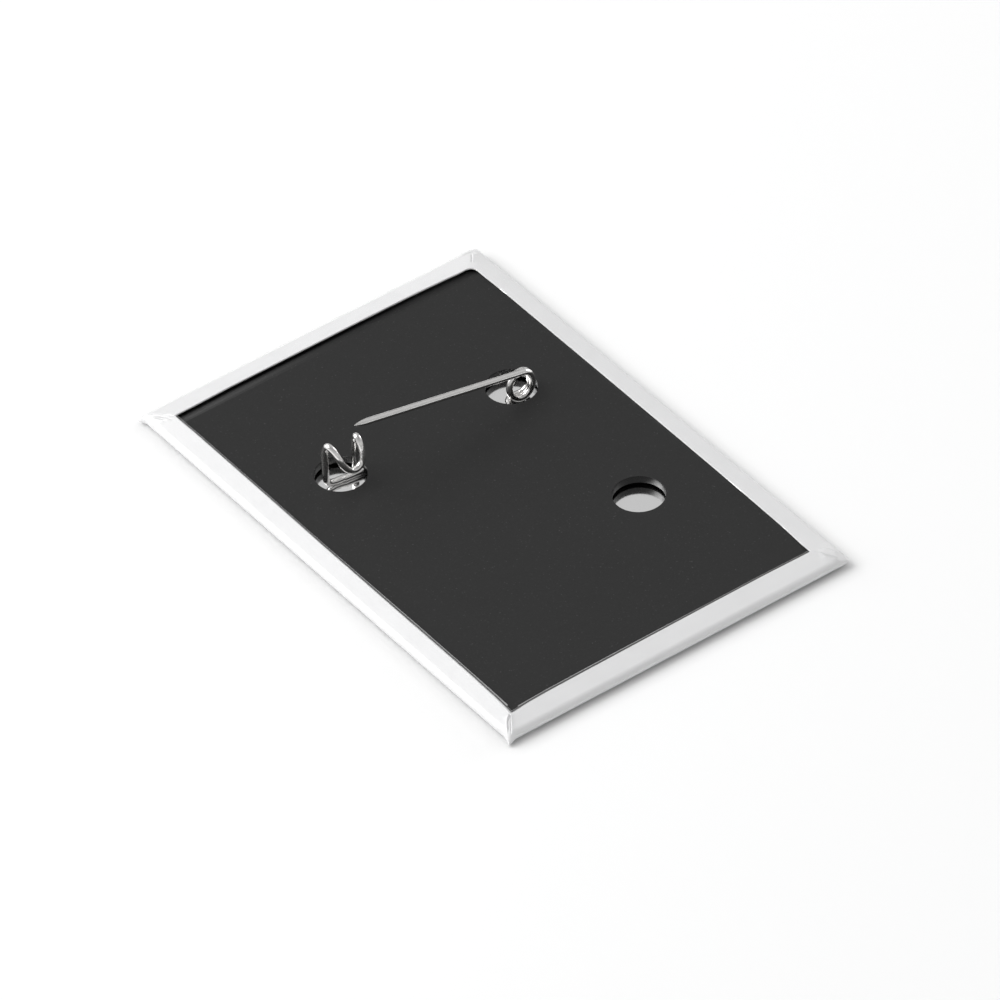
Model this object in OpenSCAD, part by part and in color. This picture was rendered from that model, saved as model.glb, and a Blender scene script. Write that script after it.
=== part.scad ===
// Rectangular pin badge, lying on its face with the pin upward.
// +X runs across the badge, +Y along it toward the pin, +Z up out of the back.
// The origin is the centre of the front face. All sizes are in millimetres.

/* [Badge] */
// Width across the badge
badge_w = 53; // [50:1:70]
// Length along the badge
badge_l = 78; // [74:1:110]
// Radius of the rounded edge between the face and the side
edge_r = 0.9; // [0.9:0.02:1]
// Height at which the side folds over into the rim
crease_z = 1.62; // [1.55:0.01:1.7]
// Height of the rim's inner edge
lip_z = 2.32; // [2.3:0.01:2.45]
// Thickness of the clear film
film_t = 0.05; // [0.04:0.01:0.06]
// Thickness of the paper
paper_t = 0.1; // [0.08:0.01:0.11]
// Thickness of the tinplate
sheet_t = 0.2; // [0.18:0.01:0.21]
// How far the film stands out past the paper on two sides of the window
film_strip = 0.42; // [0.2:0.02:0.6]

/* [Back plate] */
// Height of the plate's visible face
plate_z = 1.88; // [1.8:0.01:1.9]
// Thickness of the plate
plate_t = 1.08; // [0.9:0.02:1.1]
// Radius of the three holes
hole_r = 3.4; // [3.2:0.1:3.6]

/* [Pin] */
// Diameter of the wire
wire_d = 0.9; // [0.7:0.05:0.9]
// Length of the pin from the coil to its tip
arm_len = 28.3; // [24:0.1:29]
// Length of the ground point
point_len = 2.6; // [2:0.1:4]
// Angle at which the pin rises from the plate
arm_rise = 14.45; // [10:0.05:18]

/* [Hidden] */

// Small space left between pieces that touch
gap = 0.02;
wire_r = wire_d / 2;
paper_in = film_t + gap;
sheet_in = paper_in + paper_t + gap;
room_in = sheet_in + sheet_t;
plate_in = room_in + gap;

// Width of the rim along the long sides, where it is an average, and along the short ones
long_rim = 3.08;
short_rim = 3.34;
// The window between the rims sits a little to the -X side
window_x = -0.2;
window_half_w = badge_w / 2 - long_rim;
window_half_l = badge_l / 2 - short_rim;
// The side leans inward by this much between its widest place and the crease
crease_in = 0.4;
// The rounded edge turns past the upright by this angle
edge_end = 12;
edge_steps = 5;
// The rim's slope runs on this far inside the window before it is cut off
ridge_run = 2;
// Longer than any side, for shapes that are cut through the badge
through = 200;
// How far a cutting shape reaches past the face that it opens
past = 1;

// Centres of the holes for the coil and for the catch, and of the unused one
hole_x = 13.05;
hole_y = 13.35;
catch_hole_x = -13.75;
skirt_w = 1.2;
// The wire's groove under the plate, with the wire's play to each side and above it
side_play = 0.35;
top_play = 0.05;
groove_w = wire_d + 2 * side_play;
groove_top = room_in + gap + wire_d + top_play;
groove_from = [11.6, 10.7];
groove_to = [-11, 13.08];

// Height of the middle of the wire where it lies on the tray's floor
wire_z = room_in + gap + wire_r;

// The coil is an oval helix. It turns from the pin, over its top, to the base.
coil_x = 13.19;
coil_y = 11.26;
coil_rx = 1.8;
coil_rz = 2.29;
// Change in each measure over one turn
coil_pitch = 0.92;
coil_drift = 0.35;
coil_shrink_x = 0.14;
coil_shrink_z = 0.29;
// Angles past the top at which the pin leaves the coil and at which the base begins
coil_start = 10;
coil_end = 540;
coil_steps = 45;

// The pin leans toward -Y as it runs across the badge
arm_lean = 3.55;
tip_r = 0.03;
// The coil's wire runs on straight by this much before the stiff pin begins
tail_len = 2.4;

// Middle line of the base wire, from the coil, under the plate, up into the catch,
// over its two humps and down to its cut end. Columns: x, y, height above wire_z.
base_route = [
    [13.05, 12.68, 0],
    [12.3, 12.64, 0],
    [11.75, 12.3, 0],
    [11.4, 11.7, 0],
    [11, 11.15, 0],
    [10.3, 10.8, 0],
    [4, 11.45, 0],
    [-4, 12.35, 0],
    [-12.2, 13.2, 0],
    [-13.4, 13.43, 0],
    [-14.6, 13.6, 0],
    [-15.45, 13.68, 0.3],
    [-15.78, 13.7, 1.15],
    [-15.8, 13.7, 3.1],
    [-15.8, 13.68, 5.1],
    [-15.8, 13.45, 6.2],
    [-15.8, 12.95, 6.88],
    [-15.7, 12.4, 6.88],
    [-15.48, 11.86, 6.35],
    [-15.23, 11.4, 5.5],
    [-14.88, 11.1, 4.55],
    [-14.35, 11, 3.7],
    [-13.65, 11, 3.1],
    [-12.8, 11, 3],
    [-12.05, 11.05, 3.5],
    [-11.78, 11.2, 4.45],
    [-11.72, 11.5, 5.45],
    [-11.68, 11.9, 6.25],
    [-11.66, 12.4, 6.65],
    [-11.54, 12.85, 6.4],
    [-11.48, 13.1, 5.7],
    [-11.5, 13.15, 4.8],
    [-11.58, 13.15, 3],
    [-11.7, 13.12, 0.52]
];
route_steps = 3;
wire_sides = 12;

function unit(v) = v / norm(v);

// A side's section from the face, round the edge and up the rim, for one half of the badge
function half_section(half, rim) =
    let (slope = (lip_z - crease_z) / (rim - crease_in))
    concat(
        [for (i = [0:edge_steps])
            let (a = -90 + i * (90 + edge_end) / edge_steps)
            [half - edge_r + edge_r * cos(a), edge_r + edge_r * sin(a)]],
        [[half - crease_in, crease_z]],
        [[half - rim - ridge_run, lip_z + ridge_run * slope]]
    );

function mirrored(points) =
    [for (i = [len(points) - 1:-1:0]) [-points[i][0], points[i][1]]];

// Moves each corner of a section inward so that every side shifts by t
function inset(points, t) =
    let (n = len(points))
    [for (i = [0:n - 1])
        let (
            before = unit(points[i] - points[(i + n - 1) % n]),
            after = unit(points[(i + 1) % n] - points[i]),
            n1 = [-before[1], before[0]],
            n2 = [-after[1], after[0]]
        )
        points[i] + t * (n1 + n2) / (1 + n1 * n2)];

// The point on the line from a to b at height z
function at_height(a, b, z) = a + (b - a) * (z - a[1]) / (b[1] - a[1]);

// Cuts a whole section off at a height, on the rims' slopes
function capped(points, top) =
    let (ridge = edge_steps + 2)
    [for (i = [0:len(points) - 1])
        i == ridge ? at_height(points[ridge - 1], points[ridge], top)
        : i == ridge + 1 ? at_height(points[ridge + 2], points[ridge + 1], top)
        : points[i]];

// The badge's whole outer form, shrunk by t on every side, and cut off flat at a height
module body_form(t, top = lip_z + past) {
    across = concat(
        half_section(badge_w / 2, badge_w / 2 - window_half_w - window_x),
        mirrored(half_section(badge_w / 2, badge_w / 2 - window_half_w + window_x))
    );
    side = half_section(badge_l / 2, badge_l / 2 - window_half_l);
    along = concat(side, mirrored(side));
    intersection() {
        rotate([90, 0, 0])
            linear_extrude(through, center = true)
                polygon(capped(inset(across, t), top));
        rotate([90, 0, 90])
            linear_extrude(through, center = true)
                polygon(capped(inset(along, t), top));
    }
}

// An upright block of the window's plan: low widens the -X and -Y sides, high the others
module window_block(low, high, z0) {
    translate([window_x - window_half_w - low, -window_half_l - low, z0])
        cube([2 * window_half_w + low + high, 2 * window_half_l + low + high, through]);
}

// The turned-down paper edge that closes the rim's inner face
module lip(low, high, wall) {
    intersection() {
        body_form(paper_in);
        difference() {
            window_block(low + wall, high + wall, plate_z + gap);
            window_block(low, high, 0);
        }
    }
}

module clear_film() {
    color("whitesmoke", 0.4)
        difference() {
            body_form(0);
            body_form(film_t);
            window_block(0, 0, edge_r);
        }
}

module printed_wrap() {
    color("white")
        union() {
            difference() {
                body_form(paper_in);
                body_form(paper_in + paper_t);
                window_block(film_strip, 0, edge_r);
            }
            lip(film_strip, 0, paper_t);
        }
}

module front_shell() {
    fold = paper_t + gap;
    color("silver")
        difference() {
            body_form(sheet_in);
            body_form(room_in);
            window_block(film_strip + fold, fold, edge_r);
        }
}

module plate_hole(x, y) {
    translate([x, y, 0])
        cylinder(h = 2 * lip_z, r = hole_r, $fn = 64);
}

module back_plate() {
    run = groove_to - groove_from;
    color("#333333")
        difference() {
            body_form(plate_in, plate_z);
            // Room under the plate, inside the skirt
            translate([0, 0, -past])
                linear_extrude(plate_z - plate_t + past)
                    square([badge_w - 2 * (plate_in + skirt_w),
                            badge_l - 2 * (plate_in + skirt_w)], center = true);
            plate_hole(hole_x, hole_y);
            plate_hole(catch_hole_x, hole_y);
            plate_hole(hole_x, -hole_y);
            translate([groove_from[0], groove_from[1], 0])
                rotate([0, 0, atan2(run[1], run[0])])
                    translate([0, -groove_w / 2, 0])
                        cube([norm(run), groove_w, groove_top]);
        }
}

// Smooth curve through the points p, with steps points from each one to the next
function curve_point(a, b, c, d, t) =
    0.5 * (2 * b + (c - a) * t
        + (2 * a - 5 * b + 4 * c - d) * t * t
        + (3 * b - a - 3 * c + d) * t * t * t);

function smooth(p, steps) =
    let (n = len(p))
    concat(
        [for (i = [0:n - 2], k = [0:steps - 1])
            curve_point(
                i == 0 ? 2 * p[0] - p[1] : p[i - 1],
                p[i],
                p[i + 1],
                i == n - 2 ? 2 * p[n - 1] - p[n - 2] : p[i + 2],
                k / steps)],
        [p[n - 1]]
    );

function direction(path, i) =
    let (n = len(path))
    unit(path[min(i + 1, n - 1)] - path[max(i - 1, 0)]);

// The part of v square to t
function square_part(v, t) = unit(v - (v * t) * t);

// One sideways vector for each point of the path, turned as little as possible
function side_vectors(path, first) =
    [for (i = 0, v = square_part(first, direction(path, 0));
          i < len(path);
          i = i + 1, v = square_part(v, direction(path, min(i, len(path) - 1)))) v];

// Round wire along a path
module wire(path, first) {
    n = len(path);
    m = wire_sides;
    side = side_vectors(path, first);
    points = [for (i = [0:n - 1])
        let (t = direction(path, i), u = side[i], w = cross(t, u))
        for (k = [0:m - 1])
            path[i] + wire_r * (cos(360 * k / m) * u + sin(360 * k / m) * w)];
    faces = concat(
        [[for (k = [0:m - 1]) k]],
        [for (i = [0:n - 2], k = [0:m - 1])
            let (next = (k + 1) % m)
            [i * m + k, (i + 1) * m + k, (i + 1) * m + next, i * m + next]],
        [[for (k = [m - 1:-1:0]) (n - 1) * m + k]]
    );
    polyhedron(points, faces, convexity = 10);
}

function coil_point(angle) =
    let (turn = angle / 360)
    [
        coil_x + coil_drift * turn + (coil_rx - coil_shrink_x * turn) * sin(angle),
        coil_y + coil_pitch * turn,
        wire_z + (coil_rz - coil_shrink_z * turn) * (1 + cos(angle))
    ];

module base_wire() {
    route = [for (p = base_route) [p[0], p[1], p[2] + wire_z]];
    start = coil_point(coil_end) + [-gap, 0, 0];
    color("lightgray")
        wire(smooth(concat([start], route), route_steps), [0, 0, 1]);
}

// Unit vector along the pin, from the coil to its tip
function arm_dir() = [
    -cos(arm_rise) * cos(arm_lean),
    -cos(arm_rise) * sin(arm_lean),
    sin(arm_rise)
];

module spring_coil() {
    tail = [for (s = [tail_len, tail_len / 2]) coil_point(coil_start) + s * arm_dir()];
    turns = [for (i = [0:coil_steps])
        coil_point(coil_start + (coil_end - coil_start) * i / coil_steps)];
    color("lightgray")
        wire(concat(tail, turns), [0, 1, 0]);
}

module pin_arm() {
    color("lightgray")
        translate(coil_point(coil_start))
            rotate([0, 0, 180 + arm_lean])
                rotate([0, 90 - arm_rise, 0])
                    rotate_extrude($fn = 48)
                        polygon([
                            [0, tail_len + gap],
                            [wire_r, tail_len + gap],
                            [wire_r, arm_len - point_len],
                            [tip_r, arm_len],
                            [0, arm_len]
                        ]);
}

clear_film();
printed_wrap();
front_shell();
back_plate();
base_wire();
spring_coil();
pin_arm();
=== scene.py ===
# Pin badge, seen from behind as it lies on its face: looks, light and camera.
# Sizes are in millimetres until a mesh is made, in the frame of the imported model.
import math

import bpy
import numpy as np
from mathutils import Matrix, Vector


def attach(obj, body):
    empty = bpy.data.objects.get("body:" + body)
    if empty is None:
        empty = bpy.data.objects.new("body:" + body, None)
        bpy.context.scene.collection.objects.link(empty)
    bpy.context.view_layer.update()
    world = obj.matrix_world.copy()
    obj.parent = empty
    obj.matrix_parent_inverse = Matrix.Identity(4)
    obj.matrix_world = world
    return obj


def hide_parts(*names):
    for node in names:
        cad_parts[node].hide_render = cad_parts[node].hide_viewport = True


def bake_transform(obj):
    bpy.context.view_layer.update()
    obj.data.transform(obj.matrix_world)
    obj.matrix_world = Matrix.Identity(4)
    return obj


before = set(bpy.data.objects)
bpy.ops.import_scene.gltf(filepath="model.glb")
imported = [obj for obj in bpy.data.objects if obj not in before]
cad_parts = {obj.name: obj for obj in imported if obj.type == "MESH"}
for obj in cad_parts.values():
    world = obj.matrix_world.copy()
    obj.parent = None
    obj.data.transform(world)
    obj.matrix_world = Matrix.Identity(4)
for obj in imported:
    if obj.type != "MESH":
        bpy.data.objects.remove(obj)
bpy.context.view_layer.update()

MM = 0.001

# The badge's section, its plate and the holes, as in the CAD model
HALF_W = 26.5
HALF_L = 39.0
WINDOW_X = -0.2
WINDOW_HALF_W = 23.42
WINDOW_HALF_L = 35.66
EDGE_R = 0.9
EDGE_END = math.radians(12)
CREASE_IN = 0.4
CREASE_Z = 1.62
LIP_Z = 2.32
FILM_T = 0.05
PAPER_T = 0.1
SHEET_T = 0.2
GAP = 0.02
PAPER_IN = FILM_T + GAP
SHEET_IN = PAPER_IN + PAPER_T + GAP
ROOM_IN = SHEET_IN + SHEET_T
PLATE_IN = ROOM_IN + GAP
PLATE_Z = 1.88
PLATE_T = 1.08
SKIRT_W = 1.2
HOLE_R = 3.4
HOLE_X = 13.05
HOLE_Y = 13.35
CATCH_HOLE_X = -13.75

# The wire, as in the CAD model
WIRE_R = 0.45
WIRE_Z = ROOM_IN + GAP + WIRE_R
ARM_LEN = 28.3
POINT_LEN = 2.6
ARM_RISE = math.radians(14.45)
ARM_LEAN = math.radians(3.55)
TIP_R = 0.03
# The ground point's sides bulge: the wire thins toward the tip with this power
POINT_CURVE = 2.2
# The coil at its top: its middle, half its width and half its height
COIL_X = 13.19
COIL_Y = 11.26
COIL_RX = 1.8
COIL_RZ = 2.29
# Changes over one turn: of the middle along y and x, and of the two halves
COIL_PITCH = 0.92
COIL_DRIFT = 0.35
COIL_SHRINK_X = 0.14
COIL_SHRINK_Z = 0.29
# Angles past the coil's top at which the pin leaves it and at which the base begins
COIL_START = 10
COIL_END = 540

# Sides in the order met going anticlockwise from the near corner, seen from above
SIDES = ("-y", "+x", "+y", "-x")
OUTWARD = {"-y": (0, -1), "+x": (1, 0), "+y": (0, 1), "-x": (-1, 0)}
HALF = {"-y": HALF_L, "+x": HALF_W, "+y": HALF_L, "-x": HALF_W}
RIM = {
    "-y": HALF_L - WINDOW_HALF_L,
    "+x": HALF_W - WINDOW_HALF_W - WINDOW_X,
    "+y": HALF_L - WINDOW_HALF_L,
    "-x": HALF_W - WINDOW_HALF_W + WINDOW_X,
}
# The corner before each side, in the same order, and its radius outside and at the window
CORNERS = ("near", "right", "far", "left")
CORNER_R = {"near": 0.5, "right": 0.5, "far": 0.8, "left": 0.5}
INNER_R = {"near": 0.12, "right": 0.12, "far": 1.0, "left": 0.12}
# The corner's radius at the crease
CREASE_CORNER_R = {"near": 0.6, "right": 1.5, "far": 0.8, "left": 0.6}
# It takes over between these heights, and ends between these distances in from the side
CREASE_CORNER_Z = (EDGE_R, CREASE_Z - 0.1)
CREASE_CORNER_IN = (0.7, 2.6)
# Ears of folded film at the corners: how far they stand out, at what height, and their size
EAR = {"near": 0.65, "right": 0.12, "far": 0.1, "left": 0.7}
EAR_Z = {"near": 0.3, "right": 1.15, "far": 1.2, "left": 0.45}
EAR_HALF_WIDTH = 0.42
EAR_HALF_HEIGHT = 0.4
# The ears fade out between these distances from the corner's tip toward the middle
EAR_IN = (0.7, 1.5)


def unit(v):
    """The vector with its length made 1."""
    return v / np.linalg.norm(v)


def smoothstep(low, high, x):
    """0 up to low, 1 from high on, and an S-shaped rise between them."""
    t = np.clip((x - low) / (high - low), 0, 1)
    return t * t * (3 - 2 * t)


# Materials

# The floor's colour is darker within this distance of the badge: a painted contact shadow
PAINTED_SHADOW_WIDTH = 2.5
# Its painted shades, by how open the space above it is
FLOOR_PAINTED_SHADES = ((0.45, 0.75), (1.0, 0.97))


def new_ramp(nodes, stops):
    """A colour ramp from (position, colour or grey) stops."""
    ramp = nodes.new("ShaderNodeValToRGB")
    elements = ramp.color_ramp.elements
    while len(elements) < len(stops):
        elements.new(0.5)
    for element, (position, colour) in zip(elements, stops):
        element.position = position
        shade = colour if isinstance(colour, tuple) else (colour,) * 3
        element.color = (*shade, 1)
    return ramp


class Finish:
    """A material with one Principled shader, and short calls that add nodes to it."""

    def __init__(self, name, colour, roughness, metallic=0.0, **sockets):
        self.material = bpy.data.materials.new(name)
        self.material.use_nodes = True
        self.nodes = self.material.node_tree.nodes
        self.link = self.material.node_tree.links.new
        self.shader = self.nodes["Principled BSDF"]
        self.set("Base Color", (*colour, 1))
        self.set("Roughness", roughness)
        self.set("Metallic", metallic)
        for key, value in sockets.items():
            self.set(key.replace("_", " "), value)

    def set(self, socket, value):
        self.shader.inputs[socket].default_value = value

    def noise(self, size, stretch=(1, 1, 1), detail=3, coordinates="Object"):
        """Noise whose features are about that many millimetres across."""
        where = self.nodes.new("ShaderNodeTexCoord")
        scaled = self.nodes.new("ShaderNodeMapping")
        scaled.inputs["Scale"].default_value = stretch
        noise = self.nodes.new("ShaderNodeTexNoise")
        noise.inputs["Scale"].default_value = 1 / (size * MM)
        noise.inputs["Detail"].default_value = detail
        self.link(where.outputs[coordinates], scaled.inputs["Vector"])
        self.link(scaled.outputs["Vector"], noise.inputs["Vector"])
        return noise.outputs["Fac"]

    def ramp(self, value, stops):
        """The colours that a ramp with those stops gives for a value."""
        ramp = new_ramp(self.nodes, stops)
        self.link(value, ramp.inputs["Fac"])
        return ramp.outputs["Color"]

    def drive(self, socket, value):
        self.link(value, self.shader.inputs[socket])

    def bump(self, *layers):
        """Bump from (height, depth in millimetres) layers, one on top of the other."""
        normal = None
        for height, depth in layers:
            bump = self.nodes.new("ShaderNodeBump")
            bump.inputs["Distance"].default_value = depth * MM
            self.link(height, bump.inputs["Height"])
            if normal:
                self.link(normal, bump.inputs["Normal"])
            normal = bump.outputs["Normal"]
        self.link(normal, self.shader.inputs["Normal"])


def paper_finish():
    """White coated paper, slightly uneven in tone."""
    f = Finish("coated_paper", (0.8, 0.8, 0.805), 0.42, Coat_Weight=0.6, Coat_Roughness=0.14)
    f.drive("Base Color", f.ramp(f.noise(3.5, detail=5), [
        (0.3, (0.795, 0.795, 0.8)),
        (0.7, (0.82, 0.82, 0.825)),
    ]))
    f.bump((f.noise(1.6, detail=2), 0.012), (f.noise(0.12), 0.001))
    return f.material


def film_finish():
    """Clear gloss film, hardly visible apart from its reflections."""
    f = Finish("clear_film", (0.9, 0.9, 0.9), 0.12, Alpha=0.1)
    f.bump((f.noise(2.5, detail=2), 0.01))
    return f.material


def film_strip_finish():
    """The film where it goes on past the paper, which looks milky."""
    f = Finish("film_strip", (0.6, 0.6, 0.61), 0.16, Alpha=0.5)
    f.drive("Base Color", f.ramp(f.noise(0.6, detail=4), [(0.35, 0.45), (0.7, 0.62)]))
    f.bump((f.noise(1.2), 0.01))
    return f.material


def film_cut_highlight_finish():
    """The film's cut edge, paler than its strip: a painted highlight along the edge."""
    f = Finish("film_cut_edge", (0.6, 0.6, 0.6), 0.3, Alpha=0.62)
    f.drive("Base Color", f.ramp(f.noise(0.3), [(0.3, 0.52), (0.7, 0.68)]))
    return f.material


def tinplate_finish():
    """Bright tinplate with fine rolling marks."""
    f = Finish("tinplate", (0.93, 0.93, 0.93), 0.1, metallic=1.0)
    f.drive("Roughness", f.ramp(f.noise(0.4, stretch=(1, 8, 1)), [(0.3, 0.08), (0.7, 0.13)]))
    f.bump((f.noise(0.15, stretch=(1, 12, 1)), 0.0006))
    return f.material


def plate_finish():
    """Matt black moulding with a fine grain and a few pale specks."""
    f = Finish("black_plate", (0.006, 0.006, 0.006), 0.56, Specular_IOR_Level=0.45)
    grain = f.noise(0.16, detail=2)
    f.drive("Base Color", f.ramp(f.noise(0.22, detail=1), [
        (0.4, 0.005),
        (0.72, 0.008),
        (0.8, 0.05),
    ]))
    f.drive("Roughness", f.ramp(f.noise(6, detail=4), [(0.3, 0.53), (0.7, 0.6)]))
    f.bump((f.noise(9, detail=1), 0.02), (grain, 0.004))
    return f.material


def plate_wall_finish():
    """The glossier walls of the plate's holes, as the mould leaves them."""
    f = Finish("black_plate_wall", (0.006, 0.006, 0.006), 0.28)
    f.drive("Roughness", f.ramp(f.noise(0.5, stretch=(1, 1, 0.1)), [(0.3, 0.22), (0.7, 0.34)]))
    f.bump((f.noise(0.3, stretch=(1, 1, 0.1)), 0.004))
    return f.material


def wire_finish():
    """Nickel-plated wire with faint marks along its length."""
    f = Finish("nickel_wire", (0.84, 0.83, 0.82), 0.2, metallic=1.0)
    drawn = f.noise(0.12, stretch=(0.06, 1, 1), coordinates="UV")
    f.drive("Roughness", f.ramp(drawn, [(0.3, 0.14), (0.7, 0.2)]))
    f.drive("Base Color", f.ramp(f.noise(0.5), [
        (0.3, (0.78, 0.77, 0.76)),
        (0.7, (0.86, 0.85, 0.84)),
    ]))
    f.bump((drawn, 0.0006))
    return f.material


def floor_finish():
    """Matt white, with a painted contact shadow: its colour is a little darker close to the badge.
    """
    f = Finish("floor", (0.97, 0.97, 0.97), 0.9, Specular_IOR_Level=0.0)
    openness = f.nodes.new("ShaderNodeAmbientOcclusion")
    openness.samples = 4
    openness.inputs["Distance"].default_value = PAINTED_SHADOW_WIDTH * MM
    # Painted shade: the colour darkens where the floor is less open
    f.drive("Base Color", f.ramp(openness.outputs["AO"], FLOOR_PAINTED_SHADES))
    return f.material


# Mesh helpers

def linked(name, data):
    """A new object in the scene from a mesh, curve, light or camera."""
    obj = bpy.data.objects.new(name, data)
    bpy.context.scene.collection.objects.link(obj)
    return obj


def new_object(name, vertices, faces, materials, which=None, uv=None):
    """A smooth-shaded object from vertices in millimetres. which gives each face the number of
    its material, and uv gives a pair for every corner of every face."""
    mesh = bpy.data.meshes.new(name)
    mesh.from_pydata([tuple(v) for v in np.asarray(vertices) * MM], [], faces)
    for material in materials:
        mesh.materials.append(material)
    mesh.shade_smooth()
    if which is not None:
        mesh.polygons.foreach_set("material_index", which)
    if uv is not None:
        layer = mesh.uv_layers.new(name="UVMap")
        layer.data.foreach_set("uv", np.asarray(uv, np.float32).ravel())
    mesh.update()
    return linked(name, mesh)


def grid_faces(rows, columns):
    """Faces of a grid whose last column joins its first. They face away from the middle where
    the columns go anticlockwise and the rows go up, seen from outside."""
    return [
        (r * columns + c, r * columns + (c + 1) % columns,
         (r + 1) * columns + (c + 1) % columns, (r + 1) * columns + c)
        for r in range(rows - 1) for c in range(columns)
    ]


def smooth_path(knots, steps):
    """Points of a Catmull-Rom curve through the knots, as in the CAD model."""
    k = np.asarray(knots, float)
    k = np.vstack([2 * k[0] - k[1], k, 2 * k[-1] - k[-2]])
    points = []
    for i in range(1, len(k) - 2):
        a, b, c, d = k[i - 1:i + 3]
        for t in np.arange(steps) / steps:
            points.append(0.5 * (2 * b + (c - a) * t + (2 * a - 5 * b + 4 * c - d) * t**2
                                 + (3 * b - a - 3 * c + d) * t**3))
    return np.array(points + [k[-2]])


def tube(name, path, radii, first, material, sides=24):
    """Round wire along a path, closed at both ends, with its length and girth as UV in metres."""
    n = len(path)
    tangents = np.gradient(path, axis=0)
    tangents /= np.linalg.norm(tangents, axis=1)[:, None]
    length = np.concatenate([[0], np.cumsum(np.linalg.norm(np.diff(path, axis=0), axis=1))])
    side = np.array(first, float)
    turn = np.linspace(0, 2 * math.pi, sides, endpoint=False)
    rings = []
    for p, t, r in zip(path, tangents, radii):
        side = unit(side - side @ t * t)
        other = np.cross(t, side)
        rings.append(p + r * (np.outer(np.cos(turn), side) + np.outer(np.sin(turn), other)))
    faces = grid_faces(n, sides)
    girth = 2 * math.pi * WIRE_R
    uv = []
    for r in range(n - 1):
        for c in range(sides):
            low, high = c / sides * girth, (c + 1) / sides * girth
            uv += [(length[r], low), (length[r], high), (length[r + 1], high), (length[r + 1], low)]
    caps = [tuple(range(sides))[::-1], tuple((n - 1) * sides + c for c in range(sides))]
    uv += [(0, 0)] * (2 * sides)
    return new_object(name, np.vstack(rings), faces + caps, [material], uv=np.array(uv) * MM)


# The section that runs round the badge

def fillet(a, b, c, radius, steps):
    """Points of the arc that rounds the corner b on the way from a to c."""
    u, v = unit(a - b), unit(c - b)
    half = math.acos(np.clip(u @ v, -1, 1)) / 2
    centre = b + unit(u + v) * radius / math.sin(half)
    start, end = b + u * radius / math.tan(half) - centre, b + v * radius / math.tan(half) - centre
    turn = math.pi - 2 * half
    return [centre + (start * math.sin(turn * (1 - t)) + end * math.sin(turn * t)) / math.sin(turn)
            for t in np.linspace(0, 1, steps + 1)]


def shifted(corners, inset):
    """Moves an open line of corners sideways, inward, by the same amount everywhere."""
    out = []
    for i in range(len(corners)):
        before = unit(corners[max(i, 1)] - corners[max(i, 1) - 1])
        after = unit(corners[min(i + 1, len(corners) - 1)] - corners[min(i, len(corners) - 2)])
        n1, n2 = np.array([-before[1], before[0]]), np.array([-after[1], after[0]])
        out.append(corners[i] + inset * (n1 + n2) / (1 + n1 @ n2))
    return out


# Radii of the crease and of the bend between the wall and the rounded edge
CREASE_R = 1.0
BEND_R = 0.25
# Rows on the rim's slope, and steps in each of the section's arcs
SLOPE_ROWS = 34
LIP_STEPS = 4
CREASE_STEPS = 5
BEND_STEPS = 3
EDGE_STEPS = 12
# Rows on the wall, as shares of the way from the crease to the bend
WALL_SHARES = (0.25, 0.5, 0.75)
# The first row of the rounded edge is at least this far below the bend
BEND_GAP = 0.04
# The lines of the rim and of the face run on this far inward, past the rows that are used
RIDGE_RUN = 2
FACE_RUN = 5
# The film's strip past the paper: shares of its width, and how far its cut edge turns up
STRIP_SHARES = (1, 0.62, 0.33, 0)
STRIP_BURR = 0.015
# The turned edge of the paper: its rounding, how far it is tucked under and how far it
# stays above the plate
LIP_R = 0.12
LIP_UNDERCUT = 0.14
LIP_GAP = 0.1
# Rows on the face, by their distance in
FACE_ROWS = (1.6, 3.5, 8, 15, 25)


def side_corners(rim, inset):
    """Corners (distance in, height) of one side: ridge, crease, bend, foot and face."""
    slope = (LIP_Z - CREASE_Z) / (rim - CREASE_IN)
    bend = (EDGE_R - EDGE_R * math.cos(EDGE_END), EDGE_R + EDGE_R * math.sin(EDGE_END))
    corners = [
        (rim + RIDGE_RUN, LIP_Z + RIDGE_RUN * slope),
        (CREASE_IN, CREASE_Z),
        bend,
        (bend[0] - bend[1] * math.tan(EDGE_END), 0),
        (FACE_RUN, 0),
    ]
    return shifted([np.array(c, float) for c in corners], inset)


def side_section(rim, inset, start, lip_bottom=None, strip=None):
    """Rows (distance in, height) from the window's edge, over the crease and round to the face.
    With a lip the paper turns down at start. With a strip the film goes on past it that far."""
    ridge, crease, bend, foot, face = side_corners(rim, inset)
    top_of_rim = crease[1] + (ridge[1] - crease[1]) * (rim - crease[0]) / (ridge[0] - crease[0])

    def on_slope(distance):
        """The point that far in. It rises as far as the ridge and is level past it."""
        z = np.interp(distance, (crease[0], rim), (crease[1], top_of_rim))
        return np.array([distance, z])

    top = on_slope(start)
    rows = []
    if lip_bottom is not None:
        low = np.array([start - LIP_UNDERCUT, lip_bottom])
        rows += [low, (low + top) / 2] + fillet(low, top, on_slope(start - 1), LIP_R, LIP_STEPS)
    elif strip is not None:
        burr = np.array([0, min(STRIP_BURR, strip)])
        rows.append(on_slope(start + strip) - np.array([0, FILM_T]))
        rows.append(on_slope(start + strip) + burr)
        rows += [on_slope(start + strip * share) for share in STRIP_SHARES[1:]]
    else:
        rows.append(top)
    over = fillet(ridge, crease, bend, CREASE_R - inset, CREASE_STEPS)
    first = rows[-1]
    rows += [first + (over[0] - first) * i / SLOPE_ROWS for i in range(1, SLOPE_ROWS)]
    rows += over
    round_bend = fillet(crease, bend, foot, BEND_R - inset / 2, BEND_STEPS)
    rows += [over[-1] + (round_bend[0] - over[-1]) * t for t in WALL_SHARES]
    rows += round_bend
    edge = fillet(bend, foot, face, EDGE_R - inset, EDGE_STEPS)
    rows += [p for p in edge if p[1] < round_bend[-1][1] - BEND_GAP]
    rows += [np.array([d, face[1]]) for d in FACE_ROWS]
    return np.array(rows)


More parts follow.
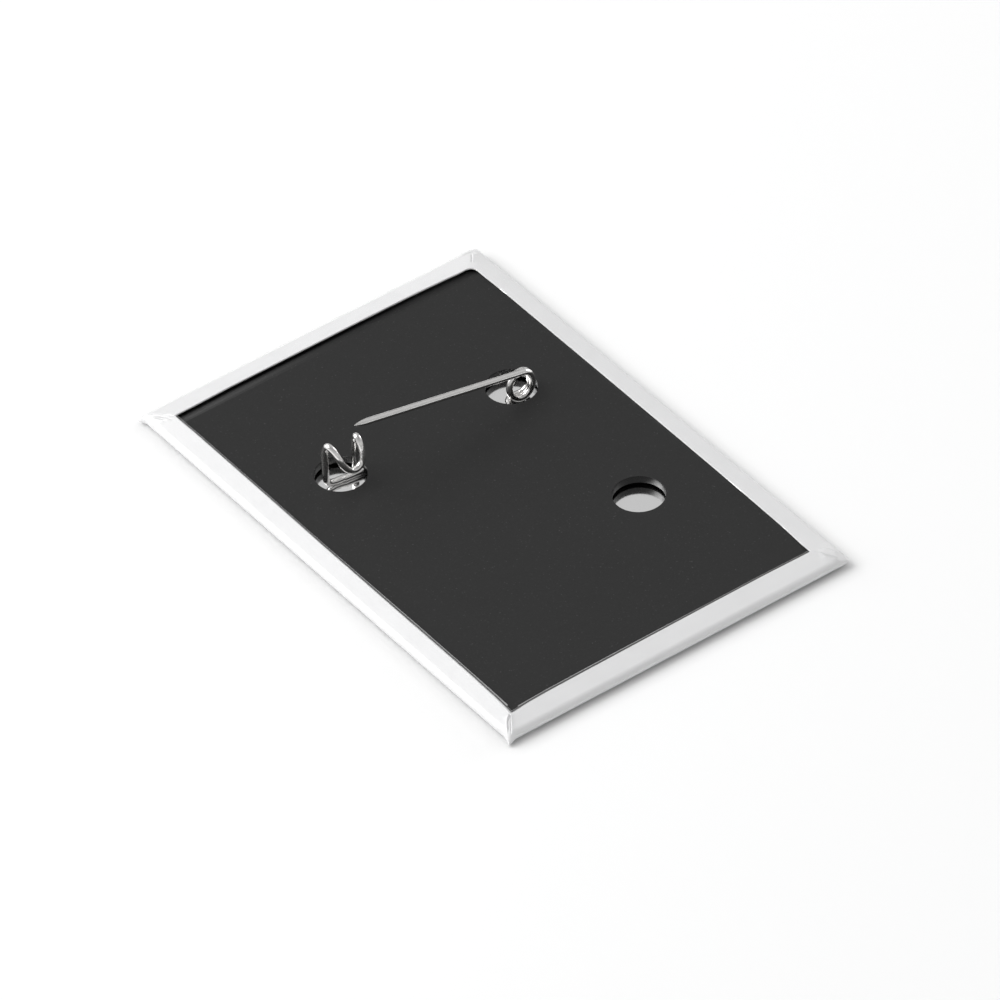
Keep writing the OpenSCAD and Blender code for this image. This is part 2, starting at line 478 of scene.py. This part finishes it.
# Columns of a fine ring: how many round a corner, how much they crowd in its middle, and the
# first step along a side and its growth
FINE_ARC = 29
ARC_CROWDING = 1.35
FIRST_STEP = 0.055
STEP_GROWTH = 1.047
# Columns of a coarse ring, round a corner and along a side
COARSE_ARC = 7
COARSE_PLACES = 12


def graded(first, growth, total):
    """Places from 0 to 1 along a side, close together at both ends."""
    steps, here = [0.0], first
    while steps[-1] + here < total / 2:
        steps.append(steps[-1] + here)
        here *= growth
    near = np.array(steps) / total
    return np.concatenate([near, [0.5], 1 - near[::-1]])


def arc_angles(count):
    """Angles across a corner from 0 to 90 degrees, closest together in the middle."""
    s = np.linspace(-1, 1, count)
    return np.radians(45 + 45 * np.sign(s) * np.abs(s) ** ARC_CROWDING)


def corner_radii(corner, one, other):
    """How rounded the corner is at each row of the sections of its two sides."""
    inward = np.minimum(one[:, 0], other[:, 0])
    plain = np.maximum(CORNER_R[corner] - inward, INNER_R[corner])
    at_crease = smoothstep(*CREASE_CORNER_Z, one[:, 1])
    at_crease *= 1 - smoothstep(*CREASE_CORNER_IN, inward)
    return plain + (CREASE_CORNER_R[corner] - plain) * at_crease


def ring(section_of, fine=True):
    """Grid of points (rows, columns, 3): the sections swept round the badge's four sides.
    A fine one has its columns close together at the corners, for the folds.
    section_of(side, place) gives a section's rows at a place along that side of the window."""
    angles = arc_angles(FINE_ARC if fine else COARSE_ARC)
    columns = []
    for i, side in enumerate(SIDES):
        last, following = SIDES[i - 1], SIDES[(i + 1) % 4]
        n0, n1, n2 = (np.array(OUTWARD[s], float) for s in (last, side, following))
        end = HALF[following]

        window_from, window_to = RIM[last] - HALF[last], end - RIM[following]
        before = section_of(last, HALF[side] - RIM[side])
        here = section_of(side, window_from)
        r = corner_radii(CORNERS[i], before, here)
        for angle in angles:
            mix = smoothstep(0, 1, angle / (math.pi / 2))
            centre = np.outer(HALF[last] - before[:, 0] - r, n0)
            centre += np.outer(HALF[side] - here[:, 0] - r, n1)
            plan = centre + np.outer(r, math.cos(angle) * n0 + math.sin(angle) * n1)
            z = before[:, 1] * (1 - mix) + here[:, 1] * mix
            columns.append(np.column_stack([plan, z]))
        after = section_of(following, RIM[side] - HALF[side])
        r2 = corner_radii(CORNERS[(i + 1) % 4], here, after)
        start_at = -(HALF[last] - before[:, 0] - r)
        end_at = end - after[:, 0] - r2
        if fine:
            places = graded(FIRST_STEP, STEP_GROWTH, 2 * HALF[last])
        else:
            places = np.linspace(0, 1, COARSE_PLACES)
        for u in places[1:-1]:
            at = start_at + (end_at - start_at) * u
            rows = section_of(side, window_from + (window_to - window_from) * u)
            plan = np.outer(HALF[side] - rows[:, 0], n1) + np.outer(at, n2)
            columns.append(np.column_stack([plan, rows[:, 1]]))
    return np.stack(columns, axis=1)


def normals_of(grid):
    """Outward normal at each point of a ring grid."""
    along = np.roll(grid, -1, axis=1) - np.roll(grid, 1, axis=1)
    across = np.gradient(grid, axis=0)
    normal = np.cross(across, along)
    return normal / np.maximum(np.linalg.norm(normal, axis=2), 1e-9)[:, :, None]


# Folds of the paper and film: knots (x, y) from the outside in, width, height, run-back
FOLDS = [
    ([(-25.75, 37.95), (-25.0, 37.0), (-24.3, 36.2), (-23.9, 35.0)], 0.1, -0.17, 0.35),
    ([(-25.95, 37.6), (-25.3, 36.6), (-24.7, 35.6), (-24.2, 34.9)], 0.1, -0.16, 0.3),
    ([(-26.1, 37.4), (-25.5, 36.3), (-25.1, 35.3)], 0.1, -0.13, 0.3),
    ([(25.75, -37.9), (25.2, -36.7), (24.6, -36.1), (23.8, -35.7)], 0.09, 0.2, 0.4),
    ([(25.35, -38.35), (24.3, -37.4), (23.5, -36.3)], 0.09, 0.18, 0.35),
    ([(25.25, -38.55), (24.3, -37.8), (23.6, -36.8)], 0.09, 0.15, 0.35),
    ([(25.0, 37.7), (24.4, 36.7), (23.6, 35.8)], 0.12, 0.2, 0.6),
    ([(23.7, 38.45), (24.5, 38.3), (25.1, 37.9)], 0.12, 0.14, 0.5),
    ([(-26.3, -38.5), (-25.25, -36.95), (-24.7, -36.4), (-24.2, -36.0)], 0.09, 0.12, 0.3),
    ([(-25.9, -38.8), (-25.0, -37.55), (-24.3, -36.5), (-24.0, -36.1)], 0.09, -0.12, 0.3),
]
# A fold's profile in shares of its width: where its rise ends, and its valley's place and width
FOLD_TOP = 0.3
VALLEY_PLACE = 1.2
VALLEY_WIDTH = 0.8
# The valley's depth
FOLD_VALLEY = 0.12
# A fold fades in and out over these shares of its length
FOLD_FADE_IN = 0.18
FOLD_FADE_OUT = 0.35
# The folds are only on the rim, and fade out between these heights
FOLD_Z = (0.85, 1.25)
FOLD_STEPS = 6


def fold_heights(grid):
    """How far each point of the wrap stands out because of the corner folds. A fold rises
    steeply on one side of its line, with a valley at its foot, and runs back gently behind."""
    plan = grid[:, :, :2]
    total = np.zeros(grid.shape[:2])
    for knots, width, height, run in FOLDS:
        line = smooth_path(knots, FOLD_STEPS)
        nearest = np.full(total.shape, 1e9)
        side = np.zeros(total.shape)
        place = np.zeros(total.shape)
        for i in range(len(line) - 1):
            a, b = line[i], line[i + 1]
            ab = b - a
            t = np.clip(((plan - a) @ ab) / (ab @ ab), 0, 1)
            off = plan - (a + t[:, :, None] * ab)
            dist = np.linalg.norm(off, axis=2)
            closer = dist < nearest
            nearest = np.where(closer, dist, nearest)
            cross = ab[0] * off[:, :, 1] - ab[1] * off[:, :, 0]
            side = np.where(closer, np.sign(cross), side)
            place = np.where(closer, (i + t) / (len(line) - 1), place)
        signed = nearest * side * math.copysign(1, height)
        ridge = smoothstep(-width, width * FOLD_TOP, signed)
        ridge *= np.exp(-np.maximum(signed, 0) / run)
        valley = np.exp(-((signed + width * VALLEY_PLACE) / (width * VALLEY_WIDTH)) ** 2)
        ends = smoothstep(0, FOLD_FADE_IN, place) * smoothstep(0, FOLD_FADE_OUT, 1 - place)
        total += (abs(height) * ridge - FOLD_VALLEY * valley) * ends
    return np.maximum(total, -FOLD_VALLEY) * smoothstep(*FOLD_Z, grid[:, :, 2])


def folded(grid):
    """The wrap's grid with its corner folds and ears."""
    out = grid + normals_of(grid) * fold_heights(grid)[:, :, None]
    for i, corner in enumerate(CORNERS):
        last, side = SIDES[i - 1], SIDES[i]
        tip = HALF[last] * np.array(OUTWARD[last]) + HALF[side] * np.array(OUTWARD[side])
        outward = unit(np.add(OUTWARD[last], OUTWARD[side]))
        off = grid[:, :, :2] - tip
        across = off @ np.array([-outward[1], outward[0]])
        height = grid[:, :, 2] - EAR_Z[corner]
        share = np.exp(-(across / EAR_HALF_WIDTH) ** 2 - (height / EAR_HALF_HEIGHT) ** 2)
        share *= 1 - smoothstep(*EAR_IN, -(off @ outward))
        out[:, :, :2] += EAR[corner] * share[:, :, None] * outward
    return out


# The cut edges weren't straight. Each is a line of (place along the window, distance in from
# the side) pairs, and places run anticlockwise, from minus to plus.
PAPER_EDGE = {
    "-x": ((-34, 2.97), (-30, 3.03), (-15, 2.99), (-5, 2.92), (15, 2.91), (25, 2.92),
           (33, 2.8), (35.7, 2.64)),
    "-y": ((-23.4, 3), (-21, 3.18), (-18, 3.28), (-6, 3.39), (6, 3.49), (16, 3.52), (22, 3.43)),
    "+x": ((-34, 3.76), (-30, 3.54), (-20, 3.4), (-10, 3.33), (10, 3.28), (30, 3.31), (34, 3.45)),
    "+y": ((-22, 3.95), (-20, 3.83), (-15, 3.65), (-8, 3.58), (8, 3.6), (15, 3.6), (21, 3.75)),
}
# The film goes on past the paper along two sides, and stops short of their shared corner
FILM_EDGE = {
    "-x": ((-9, 2.9), (-5, 2.93), (5, 2.97), (15, 3.02), (25, 3.01), (30, 2.98), (34.75, 2.92)),
    "-y": ((-22.6, 3.2), (-21, 3.26), (-18, 3.36), (-12, 3.43), (-6, 3.48), (3, 3.5), (9, 3.5)),
}
# The film's width past the paper where it has no strip
NO_STRIP = 0.008


def edge_at(edge, place):
    """Distance in from the side to a cut edge at a place along the window."""
    places, distances = zip(*edge)
    return float(np.interp(place, places, distances))


def paper_start(side, place):
    """Distance in from the side to the paper's turned edge at a place along the window."""
    return edge_at(PAPER_EDGE[side], place)


def strip_width(side, place):
    """How far the film stands out past the paper at a place along the window."""
    edge = FILM_EDGE.get(side)
    if edge is None or not edge[0][0] < place < edge[-1][0]:
        return NO_STRIP
    return max(edge_at(edge, place) - paper_start(side, place), NO_STRIP)


def skin(name, grid, materials, which=None):
    """Object from a ring grid, closed across the face by its last row."""
    rows, columns = grid.shape[:2]
    faces = [face[::-1] for face in grid_faces(rows, columns)]
    faces.append(tuple((rows - 1) * columns + c for c in range(columns))[::-1])
    return new_object(name, grid.reshape(-1, 3), faces, materials, which)


def finished(obj, body, slot, *nodes):
    """Ties a piece to its body and hides the nodes that it stands for; the slot is not used."""
    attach(obj, body)
    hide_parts(*nodes)
    return obj


def make_paper():
    grid = ring(lambda side, place: side_section(
        RIM[side], PAPER_IN, paper_start(side, place), lip_bottom=PLATE_Z + LIP_GAP))
    paper = skin("printed_paper", folded(grid), [paper_finish()])
    return finished(paper, "badge", "paper", "printed_wrap")


def make_film():
    grid = ring(lambda side, place: side_section(
        RIM[side], 0, paper_start(side, place), strip=strip_width(side, place)))
    rows, columns = grid.shape[:2]
    # The first rows are the cut edge, and the next ones the strip past the paper
    which = np.zeros((rows - 1, columns), int)
    which[:2] = 2
    which[2:len(STRIP_SHARES)] = 1
    film = skin("film_skin", folded(grid), [film_finish(), film_strip_finish(), film_cut_highlight_finish()],
                np.append(which.ravel(), 0))
    return finished(film, "badge", "film", "clear_film")


def make_tin():
    grid = ring(lambda side, place: side_section(
        RIM[side], SHEET_IN, paper_start(side, place) - PAPER_T - GAP), fine=False)
    tin = skin("tin_tray", grid, [tinplate_finish()])
    solid = tin.modifiers.new("thickness", "SOLIDIFY")
    solid.thickness = SHEET_T * MM
    solid.offset = -1
    return finished(tin, "badge", "tinplate", "front_shell")


# The back plate

# The wire's groove in the plate's underside: its ends in plan, its width and its top
GROOVE_START = (11.6, 10.7)
GROOVE_END = (-11, 13.08)
GROOVE_W = 1.6
GROOVE_Z = 1.38
# The flat slab ends this far in from the -X side, the +X side and the short sides
SLAB_IN_LEFT = 2.75
SLAB_IN_RIGHT = 3.15
SLAB_IN_ENDS = 3.2
SLAB_CORNER_R = 0.4
SLAB_BEVEL = 0.05
# The skirt goes in this far under the slab, and these are its rounded corners
SKIRT_TOP_IN = 2.8
SKIRT_CREASE_R = 0.3
SKIRT_BEND_R = 0.15
SKIRT_STEPS = 3
SKIRT_EDGE_STEPS = 6
# The face's fall toward the rim along the +Y side: its places along Y, depth and steps
FALL_START = 33.6
FALL_END = 35.9
FALL = 0.38
FALL_STEPS = 12
# The cutter for the fall starts just above the face and reaches well above it
CUTTER_START = 0.002
CUTTER_ABOVE = 1


def rounded_outline(low, high, radius, steps=6):
    """Corner points of a rectangle with rounded corners, anticlockwise."""
    corners = ((high[0], high[1]), (low[0], high[1]), (low[0], low[1]), (high[0], low[1]))
    points = []
    for i, (cx, cy) in enumerate(corners):
        inward = (radius if cx == low[0] else -radius, radius if cy == low[1] else -radius)
        for a in np.linspace(0, 90, steps) + 90 * i:
            points.append((cx + inward[0] + radius * math.cos(math.radians(a)),
                           cy + inward[1] + radius * math.sin(math.radians(a))))
    return points


def circle(x, y, r, count=96):
    """Points of a circle, anticlockwise."""
    a = np.linspace(0, 2 * math.pi, count, endpoint=False)
    return list(zip(x + r * np.cos(a), y + r * np.sin(a)))


def slab(name, outlines, low, high, bevel, materials):
    """A flat plate with holes, its edges rounded by the bevel. The first material is for its
    faces and the second for its walls."""
    curve = bpy.data.curves.new(name, "CURVE")
    curve.dimensions = "2D"
    curve.fill_mode = "BOTH"
    curve.extrude = ((high - low) / 2 - bevel) * MM
    curve.bevel_depth = bevel * MM
    curve.bevel_resolution = 2
    curve.offset = -bevel * MM
    for outline in outlines:
        spline = curve.splines.new("POLY")
        spline.points.add(len(outline) - 1)
        for point, (x, y) in zip(spline.points, outline):
            point.co = (x * MM, y * MM, 0, 1)
        spline.use_cyclic_u = True
    source = linked(name, curve)
    mesh = evaluated_mesh(source)
    mesh.name = name
    bpy.data.objects.remove(source)
    mesh.transform(Matrix.Translation((0, 0, (low + high) / 2 * MM)))
    return two_materials(linked(name, mesh), materials)


def evaluated_mesh(obj):
    """A new mesh from an object with its modifiers or curve settings applied."""
    bpy.context.view_layer.update()
    depsgraph = bpy.context.evaluated_depsgraph_get()
    return bpy.data.meshes.new_from_object(obj.evaluated_get(depsgraph))


def two_materials(obj, materials):
    """Gives the level faces the first material and the upright ones the second."""
    obj.data.materials.clear()
    for material in materials:
        obj.data.materials.append(material)
    for face in obj.data.polygons:
        face.material_index = int(abs(face.normal.z) < 0.5)
    return obj


def prism(name, first_end, other_end):
    """A closed solid between two outlines, each anticlockwise as seen from the other end."""
    n = len(first_end)
    walls = [(i, (i + 1) % n, (i + 1) % n + n, i + n) for i in range(n)]
    ends = [tuple(range(n))[::-1], tuple(range(n, 2 * n))]
    return new_object(name, first_end + other_end, walls + ends, [])


def cut_away(plate, cutter, materials):
    """Takes the cutter's shape out of the plate, and removes the cutter."""
    cut = plate.modifiers.new("cut", "BOOLEAN")
    cut.object = cutter
    cut.operation = "DIFFERENCE"
    cut.solver = "EXACT"
    mesh = evaluated_mesh(plate)
    plate.modifiers.clear()
    plate.data = mesh
    bpy.data.objects.remove(cutter)
    two_materials(plate, materials)


def cut_groove(plate, materials):
    """Cuts the wire's channel into the plate's underside, from hole to hole."""
    start, end = np.array(GROOVE_START), np.array(GROOVE_END)
    along = unit(end - start)
    aside = np.array([-along[1], along[0]]) * GROOVE_W / 2
    plan = [start - aside, end - aside, end + aside, start + aside]
    cut_away(plate, prism("groove", *([(*p, z) for p in plan] for z in (0, GROOVE_Z))), materials)


def round_far_edge(plate, materials):
    """Lets the plate's face fall away toward the rim along its +Y side."""
    places = np.linspace(FALL_START, FALL_END, FALL_STEPS + 1)
    shares = (places - FALL_START) / (FALL_END - FALL_START)
    heights = PLATE_Z + CUTTER_START - FALL * shares**2
    above = PLATE_Z + CUTTER_ABOVE
    outline = [*zip(places, heights), (FALL_END, above), (FALL_START, above)]
    ends = ([(x, y, z) for y, z in outline] for x in (-HALF_W, HALF_W))
    cut_away(plate, prism("fall", *ends), materials)


def skirt_section(rim):
    """Closed outline (distance in, height) of the plate's sloping edge and the skirt below it."""
    ridge, crease, bend, foot, face = side_corners(rim, PLATE_IN)
    slope = (ridge[1] - crease[1]) / (ridge[0] - crease[0])
    inner = foot[0] + SKIRT_W
    top = np.array([SKIRT_TOP_IN, crease[1] + slope * (SKIRT_TOP_IN - crease[0]) - GAP])
    outline = [top]
    outline += fillet(top, crease, bend, SKIRT_CREASE_R, SKIRT_STEPS)
    outline += fillet(crease, bend, foot, SKIRT_BEND_R, SKIRT_STEPS)
    outline += fillet(bend, foot, face, EDGE_R - PLATE_IN, SKIRT_EDGE_STEPS)
    outline += [np.array(p) for p in (
        (inner, face[1]), (inner, PLATE_Z - PLATE_T), (SKIRT_TOP_IN, PLATE_Z - PLATE_T))]
    return np.array(outline)


def make_skirt(materials):
    """The plate's sloping edge under the rim, and the skirt that stands on the tray."""
    grid = ring(lambda side, place: skirt_section(RIM[side]), fine=False)
    rows, columns = grid.shape[:2]
    faces = [face[::-1] for face in grid_faces(rows, columns)]
    last_row = (rows - 1) * columns
    for c in range(columns):
        following = (c + 1) % columns
        faces.append((c, following, last_row + following, last_row + c))
    skirt = new_object("plate_skirt", grid.reshape(-1, 3), faces, materials)
    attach(skirt, "badge")


def make_plate():
    low = (-HALF_W + SLAB_IN_LEFT, -HALF_L + SLAB_IN_ENDS)
    high = (HALF_W - SLAB_IN_RIGHT, HALF_L - SLAB_IN_ENDS)
    outlines = [rounded_outline(low, high, SLAB_CORNER_R)]
    outlines += [circle(x, y, HOLE_R) for x, y in
                 ((HOLE_X, HOLE_Y), (CATCH_HOLE_X, HOLE_Y), (HOLE_X, -HOLE_Y))]
    materials = [plate_finish(), plate_wall_finish()]
    plate = slab("black_plate", outlines, PLATE_Z - PLATE_T, PLATE_Z, SLAB_BEVEL, materials)
    cut_groove(plate, materials)
    round_far_edge(plate, materials)
    make_skirt(materials)
    return finished(plate, "badge", "plate", "back_plate")


# The wire

# Middle line of the base wire, from the coil, under the plate, up into the catch, over its two
# humps and down to its cut end. Columns: x, y, height above WIRE_Z.
BASE_ROUTE = [
    (13.05, 12.68, 0), (12.3, 12.64, 0), (11.75, 12.3, 0), (11.4, 11.7, 0), (11, 11.15, 0),
    (10.3, 10.8, 0), (4, 11.45, 0), (-4, 12.35, 0), (-12.2, 13.2, 0), (-13.4, 13.43, 0),
    (-14.6, 13.6, 0), (-15.45, 13.68, 0.3), (-15.78, 13.7, 1.15), (-15.8, 13.7, 3.1),
    (-15.8, 13.68, 5.1), (-15.8, 13.45, 6.2), (-15.8, 12.95, 6.88), (-15.7, 12.4, 6.88),
    (-15.48, 11.86, 6.35), (-15.23, 11.4, 5.5), (-14.88, 11.1, 4.55), (-14.35, 11, 3.7),
    (-13.65, 11, 3.1), (-12.8, 11, 3), (-12.05, 11.05, 3.5), (-11.78, 11.2, 4.45),
    (-11.72, 11.5, 5.45), (-11.68, 11.9, 6.25), (-11.66, 12.4, 6.65), (-11.54, 12.85, 6.4),
    (-11.48, 13.1, 5.7), (-11.5, 13.15, 4.8), (-11.58, 13.15, 3), (-11.7, 13.12, 0.52),
]
# Rows of the wire's mesh between two knots of the route
BASE_STEPS = 8
# Rows on the pin's ground point and on its shaft, which runs from a gap behind the point to
# just short of the coil
POINT_ROWS = 18
SHAFT_ROWS = 40
SHAFT_GAP = 0.4
SHAFT_END = 0.5
# Degrees between the rows round the coil
COIL_STEP = 5


def coil_point(degrees):
    """A point of the coil's middle line, by the angle past the coil's top."""
    turn, angle = degrees / 360, math.radians(degrees)
    return np.array([
        COIL_X + COIL_DRIFT * turn + (COIL_RX - COIL_SHRINK_X * turn) * math.sin(angle),
        COIL_Y + COIL_PITCH * turn,
        WIRE_Z + (COIL_RZ - COIL_SHRINK_Z * turn) * (1 + math.cos(angle)),
    ])


def make_base_wire(material):
    knots = [coil_point(COIL_END)] + [np.array([x, y, z + WIRE_Z]) for x, y, z in BASE_ROUTE]
    path = smooth_path(knots, BASE_STEPS)
    wire = tube("base_and_catch", path, np.full(len(path), WIRE_R), (0, 0, 1), material)
    return finished(wire, "badge", "wire", "base_wire")


def make_pin(material):
    """The pin and the coil in one wire."""
    arm = np.array([
        -math.cos(ARM_RISE) * math.cos(ARM_LEAN),
        -math.cos(ARM_RISE) * math.sin(ARM_LEAN),
        math.sin(ARM_RISE),
    ])
    root = coil_point(COIL_START)
    point = ARM_LEN - POINT_LEN * np.linspace(0, 1, POINT_ROWS) ** 2
    shaft = np.linspace(ARM_LEN - POINT_LEN - SHAFT_GAP, SHAFT_END, SHAFT_ROWS)
    places = np.concatenate([point, shaft])
    behind_tip = np.clip((ARM_LEN - places) / POINT_LEN, 0, 1)
    radii = WIRE_R - (WIRE_R - TIP_R) * (1 - behind_tip) ** POINT_CURVE
    turns = np.arange(COIL_START, COIL_END + 1, COIL_STEP)
    path = np.vstack([root + np.outer(places, arm), [coil_point(a) for a in turns]])
    radii = np.concatenate([radii, np.full(len(turns), WIRE_R)])
    pin = tube("coil_and_pin", path, radii, (0, 1, 0), material)
    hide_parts("spring_coil", "pin_arm")
    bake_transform(pin)
    return pin


# Stage, light and camera

# Half the floor's width, and its height just below the badge
FLOOR_HALF = 3000
FLOOR_Z = -0.03


def make_floor():
    plan = [(-1, -1), (1, -1), (1, 1), (-1, 1)]
    corners = [(x * FLOOR_HALF, y * FLOOR_HALF, FLOOR_Z) for x, y in plan]
    floor = new_object("floor", corners, [(0, 1, 2, 3)], [floor_finish()])


def area_light(name, azimuth, elevation, distance, size, power):
    """A square light that faces the badge. The azimuth runs anticlockwise from +X, in degrees."""
    light = bpy.data.lights.new(name, "AREA")
    light.size = size
    light.energy = power
    obj = linked(name, light)
    turn, rise = math.radians(azimuth), math.radians(elevation)
    level = math.cos(rise)
    direction = Vector((level * math.cos(turn), level * math.sin(turn), math.sin(rise)))
    obj.location = direction * distance
    obj.rotation_mode = "QUATERNION"
    obj.rotation_quaternion = direction.to_track_quat("Z", "Y")


# Brightness of the studio by the sine of the elevation, beyond the badge and on the camera's
# side of it, where a white wall stands low down
SKY_BEYOND = ((0.0, 0.3), (0.2, 0.3), (0.5, 0.6), (1.0, 0.54))
SKY_BEHIND = ((0.0, 0.38), (0.2, 0.66), (0.5, 0.45), (1.0, 0.3))
# The level direction from the camera to the badge, and how softly the two halves meet
SKY_SIDE = (0.574, 0.819, 0)
SKY_BLEND = 0.35


def make_sky():
    """A studio that is brighter or darker by height, and differs on its two sides."""
    world = bpy.data.worlds.new("studio")
    world.use_nodes = True
    nodes, link = world.node_tree.nodes, world.node_tree.links.new
    direction = nodes.new("ShaderNodeTexCoord").outputs["Generated"]
    axes = nodes.new("ShaderNodeSeparateXYZ")
    link(direction, axes.inputs["Vector"])
    mix = nodes.new("ShaderNodeMixRGB")
    for socket, stops in (("Color1", SKY_BEHIND), ("Color2", SKY_BEYOND)):
        ramp = new_ramp(nodes, stops)
        link(axes.outputs["Z"], ramp.inputs["Fac"])
        link(ramp.outputs["Color"], mix.inputs[socket])
    side = nodes.new("ShaderNodeVectorMath")
    side.operation = "DOT_PRODUCT"
    side.inputs[1].default_value = SKY_SIDE
    link(direction, side.inputs[0])
    share = nodes.new("ShaderNodeMapRange")
    share.inputs["From Min"].default_value = -SKY_BLEND
    share.inputs["From Max"].default_value = SKY_BLEND
    link(side.outputs["Value"], share.inputs["Value"])
    link(share.outputs["Result"], mix.inputs["Fac"])
    link(mix.outputs["Color"], nodes["Background"].inputs["Color"])
    bpy.context.scene.world = world


def make_light():
    make_sky()
    area_light("window", azimuth=133, elevation=41, distance=1.5, size=2.1, power=15.6)
    area_light("key", azimuth=140, elevation=40, distance=1.2, size=0.8, power=6.3)
    area_light("fill", azimuth=0, elevation=13, distance=1.2, size=0.45, power=2.8)
    bpy.context.scene.view_settings.view_transform = "Standard"


# The photograph's camera, fitted to the badge's printed size
CAMERA_AZIMUTH = math.radians(-35.064)
CAMERA_ELEVATION = math.radians(41.104)
CAMERA_ROLL = math.radians(-2.585)
CAMERA_DISTANCE = 1402.4
CAMERA_TARGET = (0.047, -1.648, 0)
CAMERA_LENS = 402.11
SENSOR_WIDTH = 36
IMAGE_SIZE = 1000
# The frame is shifted by half a pixel, as in the fit
HALF_PIXEL = 0.5 / IMAGE_SIZE
# How far the camera sees, in metres
CLIP_END = 20


def make_camera():
    back = Vector((
        math.sin(CAMERA_AZIMUTH) * math.cos(CAMERA_ELEVATION),
        -math.cos(CAMERA_AZIMUTH) * math.cos(CAMERA_ELEVATION),
        math.sin(CAMERA_ELEVATION),
    ))
    level = Vector((math.cos(CAMERA_AZIMUTH), math.sin(CAMERA_AZIMUTH), 0))
    upright = back.cross(level)
    right = level * math.cos(CAMERA_ROLL) + upright * math.sin(CAMERA_ROLL)
    up = upright * math.cos(CAMERA_ROLL) - level * math.sin(CAMERA_ROLL)
    camera = bpy.data.cameras.new("camera")
    camera.lens = CAMERA_LENS
    camera.sensor_width = SENSOR_WIDTH
    camera.shift_x = -HALF_PIXEL
    camera.shift_y = HALF_PIXEL
    camera.clip_end = CLIP_END
    obj = linked("camera", camera)
    turn = Matrix((right, up, back)).transposed().to_4x4()
    place = (Vector(CAMERA_TARGET) + back * CAMERA_DISTANCE) * MM
    obj.matrix_world = Matrix.Translation(place) @ turn
    bpy.context.scene.camera = obj


make_camera()
make_light()
make_floor()
make_paper()
make_film()
make_tin()
make_plate()
nickel = wire_finish()
make_base_wire(nickel)
make_pin(nickel)
